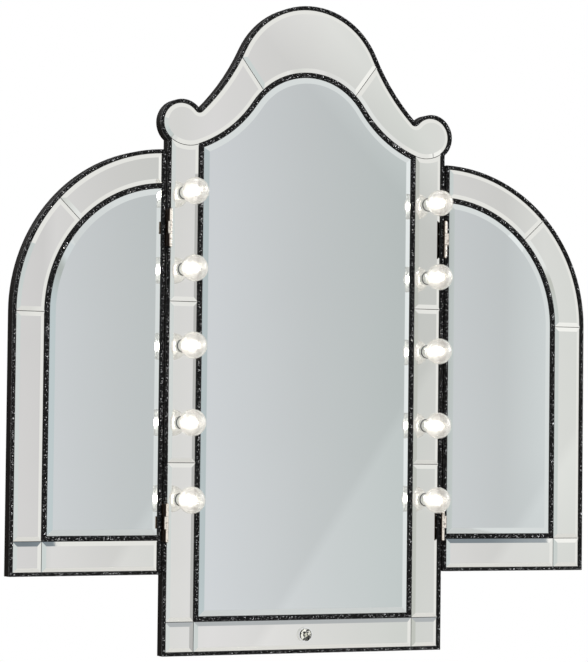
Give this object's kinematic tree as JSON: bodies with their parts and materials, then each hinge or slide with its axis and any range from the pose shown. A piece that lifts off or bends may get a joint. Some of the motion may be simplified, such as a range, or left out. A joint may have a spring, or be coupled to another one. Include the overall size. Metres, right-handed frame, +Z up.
{
  "type": "lighted tri-fold vanity mirror",
  "caption": "Crowned vanity mirror with arched wings folding on hinges, a bevelled tile border, globe bulbs up both stiles and a crystal push button.",
  "frame": {"origin": "centre of the insert pattern, on the flange faces at the back of the centre panel", "axes": "+Z up, +X to the right seen from the front, front faces -Y"},
  "size_m": [0.9482, 0.0822, 0.9748],
  "materials": {
    "mirror_glass": "silvered plate with a wide ground bevel",
    "mirror_tile": "silvered tile with a ground bevel",
    "glitter_bead": "black with bright glitter grains",
    "panel_board": "black-brown lacquered board",
    "back_board": "dark painted hardboard",
    "bulb_glass": "clear blown glass",
    "bulb_light": "glowing warm white",
    "cap_metal": "plain pressed metal",
    "socket_ceramic": "plain white",
    "chrome_trim": "bright plated",
    "crystal": "cut and polished",
    "cable_jacket": "soft jacket",
    "electrical_case": "moulded",
    "insert_brass": "turned",
    "zinc_steel": "zinc plated",
    "hinge_nickel": "bright nickel plate"
  },
  "bodies": {
    "centre_panel": {"back_cover": "back_board", "bottom_rail_tile": "mirror_tile", "bulb_caps": "cap_metal", "bulb_emitters": "bulb_light", "bulb_globes": "bulb_glass", "bushing_nut": "zinc_steel", "button_bezel": "chrome_trim", "button_switch": "electrical_case", "centre_board": "panel_board", "centre_mirror": "mirror_glass", "cover_screws": "zinc_steel", "crown_tile": "mirror_tile", "hinge_pins": "hinge_nickel", "inner_bead": "glitter_bead", "lamp_sockets": "socket_ceramic", "led_driver": "electrical_case", "left_corner_tile": "mirror_tile", "left_lamp_cable": "cable_jacket", "left_lower_stile_tile": "mirror_tile", "left_middle_stile_tile": "mirror_tile", "left_shoulder_tile": "mirror_tile", "left_upper_stile_tile": "mirror_tile", "outer_bead": "glitter_bead", "panel_hinge_leaves": "hinge_nickel", "panel_hinge_screws": "zinc_steel", "power_inlet": "electrical_case", "right_corner_tile": "mirror_tile", "right_lamp_cable": "cable_jacket", "right_lower_stile_tile": "mirror_tile", "right_middle_stile_tile": "mirror_tile", "right_shoulder_tile": "mirror_tile", "right_upper_stile_tile": "mirror_tile", "socket_collars": "chrome_trim", "switch_lead": "cable_jacket", "threaded_inserts": "insert_brass"},
    "left_wing": {"left_wing_board": "panel_board", "left_wing_bottom_tile": "mirror_tile", "left_wing_corner_tile": "mirror_tile", "left_wing_hinge_leaves": "hinge_nickel", "left_wing_hinge_screws": "zinc_steel", "left_wing_inner_bead": "glitter_bead", "left_wing_lower_arch_tile": "mirror_tile", "left_wing_mirror": "mirror_glass", "left_wing_outer_bead": "glitter_bead", "left_wing_stile_tile": "mirror_tile", "left_wing_upper_arch_tile": "mirror_tile"},
    "right_wing": {"right_wing_board": "panel_board", "right_wing_bottom_tile": "mirror_tile", "right_wing_corner_tile": "mirror_tile", "right_wing_hinge_leaves": "hinge_nickel", "right_wing_hinge_screws": "zinc_steel", "right_wing_inner_bead": "glitter_bead", "right_wing_lower_arch_tile": "mirror_tile", "right_wing_mirror": "mirror_glass", "right_wing_outer_bead": "glitter_bead", "right_wing_stile_tile": "mirror_tile", "right_wing_upper_arch_tile": "mirror_tile"},
    "button": {"crystal_button": "crystal"}
  },
  "joints": [
    {"name": "left_wing_fold", "type": "hinge", "parent": "centre_panel", "child": "left_wing", "pos_m": [-0.2288, -0.0314, 0], "axis": [0, 0, 1], "range_deg": [-3.2, 96.8]},
    {"name": "right_wing_fold", "type": "hinge", "parent": "centre_panel", "child": "right_wing", "pos_m": [0.2288, -0.0314, 0], "axis": [0, 0, -1], "range_deg": [-3.2, 96.8]},
    {"name": "button_press", "type": "slide", "parent": "centre_panel", "child": "button", "axis": [0, 1, 0], "range_m": [0, 0.002], "stiffness_N_per_m": 600}
  ]
}
